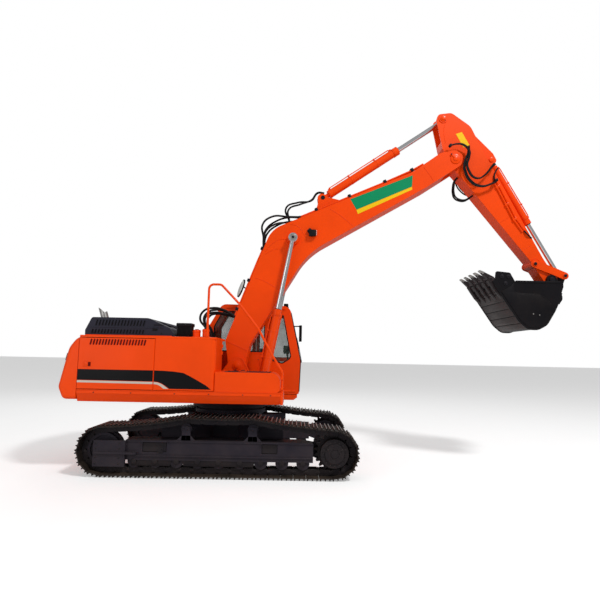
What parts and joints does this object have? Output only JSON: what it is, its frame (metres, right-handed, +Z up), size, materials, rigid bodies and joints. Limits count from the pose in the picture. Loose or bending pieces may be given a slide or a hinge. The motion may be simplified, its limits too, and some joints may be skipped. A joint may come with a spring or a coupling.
{
  "type": "crawler excavator",
  "caption": "Crawler excavator with swinging upper body, hollow cab, raised boom, angled arm and curled bucket, each moved by hydraulic cylinders",
  "frame": {"origin": "on the ground at the swing axis, midway between the tracks", "axes": "+X forward along the boom, +Y to the machine's left, +Z up"},
  "size_m": [9.2939, 2.995, 6.7695],
  "materials": {
    "track_steel": "worn steel, polished on the grousers",
    "undercarriage_paint": "dark slate paint, dusty",
    "dark_steel": "dark cast steel",
    "orange_paint": "gloss orange paint",
    "hood_paint": "satin dark slate paint",
    "black_plastic": "matt black",
    "bare_steel": "bare steel tube",
    "chrome": "polished chrome rod",
    "bucket_paint": "near-black paint worn to steel",
    "tooth_steel": "cast steel",
    "glass": "tinted glass",
    "seat_fabric": "woven cloth"
  },
  "bodies": {
    "undercarriage": {"track_right": "track_steel", "track_left": "track_steel", "track_frame_right": "undercarriage_paint", "track_frame_left": "undercarriage_paint", "sprockets": "dark_steel", "travel_motors": "dark_steel", "idlers": "undercarriage_paint", "bottom_rollers": "undercarriage_paint", "carrier_rollers": "undercarriage_paint", "carbody": "undercarriage_paint", "tow_lugs": "undercarriage_paint", "swing_bearing": "dark_steel"},
    "upper": {"swing_ring": "dark_steel", "swing_frame": "orange_paint", "frame_pins": "dark_steel", "counterweight": "orange_paint", "lifting_bosses": "orange_paint", "house_frame": "orange_paint", "air_precleaner": "black_plastic", "engine_block": "dark_steel", "tank_panel": "orange_paint", "hydraulic_tank": "orange_paint", "filler_caps": "orange_paint", "fuel_tank": "orange_paint", "handrail": "orange_paint", "cab_shell": "orange_paint", "cab_glass": "glass", "operator_seat": "black_plastic", "seat_cushions": "seat_fabric", "cab_consoles": "black_plastic", "mirror": "black_plastic"},
    "hood": {"engine_hood": "hood_paint", "exhaust_pipe": "bare_steel"},
    "right_rear_door": {"right_rear_door": "orange_paint"},
    "left_rear_door": {"left_rear_door": "orange_paint"},
    "left_front_door": {"left_front_door": "orange_paint"},
    "cab_door": {"cab_door": "orange_paint", "cab_door_glass": "glass"},
    "boom": {"boom": "orange_paint", "boom_pins": "dark_steel"},
    "boom_cylinders": {"boom_cylinder": "orange_paint"},
    "boom_rods": {"boom_rod": "chrome"},
    "arm": {"arm": "orange_paint", "arm_pin": "dark_steel"},
    "arm_cylinder": {"arm_cylinder": "orange_paint"},
    "arm_rod": {"arm_rod": "chrome"},
    "bucket_cylinder": {"bucket_cylinder": "orange_paint"},
    "bucket_rod": {"bucket_rod": "chrome"},
    "guide_links": {"guide_links": "orange_paint"},
    "bucket_link": {"bucket_link": "bucket_paint"},
    "bucket": {"bucket": "bucket_paint", "bucket_teeth": "tooth_steel", "bucket_pin": "dark_steel"}
  },
  "joints": [
    {"name": "swing", "type": "hinge", "parent": "undercarriage", "child": "upper", "pos_m": [0, 0, 1], "axis": [0, 0, 1], "continuous": true},
    {"name": "hood_lift", "type": "hinge", "parent": "upper", "child": "hood", "pos_m": [-2.3095, 0, 2.2275], "axis": [0, -1, 0], "range_deg": [0, 60]},
    {"name": "right_rear_door_swing", "type": "hinge", "parent": "upper", "child": "right_rear_door", "pos_m": [-1.1175, -1.3375, 1.755], "axis": [0, 0, 1], "range_deg": [0, 80]},
    {"name": "left_rear_door_swing", "type": "hinge", "parent": "upper", "child": "left_rear_door", "pos_m": [-1.4175, 1.3375, 1.755], "axis": [0, 0, -1], "range_deg": [0, 80]},
    {"name": "left_front_door_swing", "type": "hinge", "parent": "upper", "child": "left_front_door", "pos_m": [-0.6175, 1.3375, 1.755], "axis": [0, 0, -1], "range_deg": [0, 80]},
    {"name": "cab_door_swing", "type": "hinge", "parent": "upper", "child": "cab_door", "pos_m": [0.33, 1.389, 2], "axis": [0, 0, 1], "range_deg": [0, 165]},
    {"name": "boom_lift", "type": "hinge", "parent": "upper", "child": "boom", "pos_m": [0.12, 0, 1.74], "axis": [0, -1, 0], "range_deg": [-89, 19]},
    {"name": "boom_cylinder_tilt", "type": "hinge", "parent": "upper", "child": "boom_cylinders", "pos_m": [0.573, 0, 1.35], "axis": [0, -1, 0], "range_deg": [-92, 20]},
    {"name": "boom_rod_slide", "type": "slide", "parent": "boom_cylinders", "child": "boom_rods", "axis": [0.1846, 0, 0.9828], "range_m": [-0.797, 0.171]},
    {"name": "arm_crowd", "type": "hinge", "parent": "boom", "child": "arm", "pos_m": [4.22, 0, 5.8], "axis": [0, 1, 0], "range_deg": [-62, 46]},
    {"name": "arm_cylinder_tilt", "type": "hinge", "parent": "boom", "child": "arm_cylinder", "pos_m": [1.6599, 0, 5.017], "axis": [0, 1, 0], "range_deg": [-4.3, 3.3]},
    {"name": "arm_rod_slide", "type": "slide", "parent": "arm_cylinder", "child": "arm_rod", "axis": [0.8217, 0, 0.5699], "range_m": [-0.842, 0.625]},
    {"name": "bucket_curl", "type": "hinge", "parent": "arm", "child": "bucket", "pos_m": [6.01, 0, 3.465], "axis": [0, 1, 0], "range_deg": [-160, 0]},
    {"name": "guide_swing", "type": "hinge", "parent": "arm", "child": "guide_links", "pos_m": [5.7153, 0, 3.76724], "axis": [0, 1, 0], "range_deg": [-92, 1]},
    {"name": "link_swing", "type": "hinge", "parent": "guide_links", "child": "bucket_link", "pos_m": [6.27904, 0, 3.54797], "axis": [0, 1, 0], "range_deg": [-1, 60]},
    {"name": "bucket_cylinder_tilt", "type": "hinge", "parent": "arm", "child": "bucket_cylinder", "pos_m": [4.97737, 0, 5.86398], "axis": [0, 1, 0], "range_deg": [-6.1, 0.2]},
    {"name": "bucket_rod_slide", "type": "slide", "parent": "bucket_cylinder", "child": "bucket_rod", "axis": [0.49, 0, -0.8717], "range_m": [-0.835, 0.002]}
  ],
  "couplings": [
    {"joint": "boom_cylinder_tilt", "follows": "boom_lift", "ratio": 1.026},
    {"joint": "boom_rod_slide", "follows": "boom_lift", "m_per_rad": 0.511},
    {"joint": "arm_cylinder_tilt", "follows": "arm_crowd", "ratio": 0.068},
    {"joint": "arm_rod_slide", "follows": "arm_crowd", "m_per_rad": 0.775},
    {"joint": "guide_swing", "follows": "bucket_curl", "ratio": 0.57},
    {"joint": "link_swing", "follows": "bucket_curl", "ratio": -0.3},
    {"joint": "bucket_cylinder_tilt", "follows": "bucket_curl", "ratio": 0.036},
    {"joint": "bucket_rod_slide", "follows": "bucket_curl", "m_per_rad": 0.298}
  ]
}
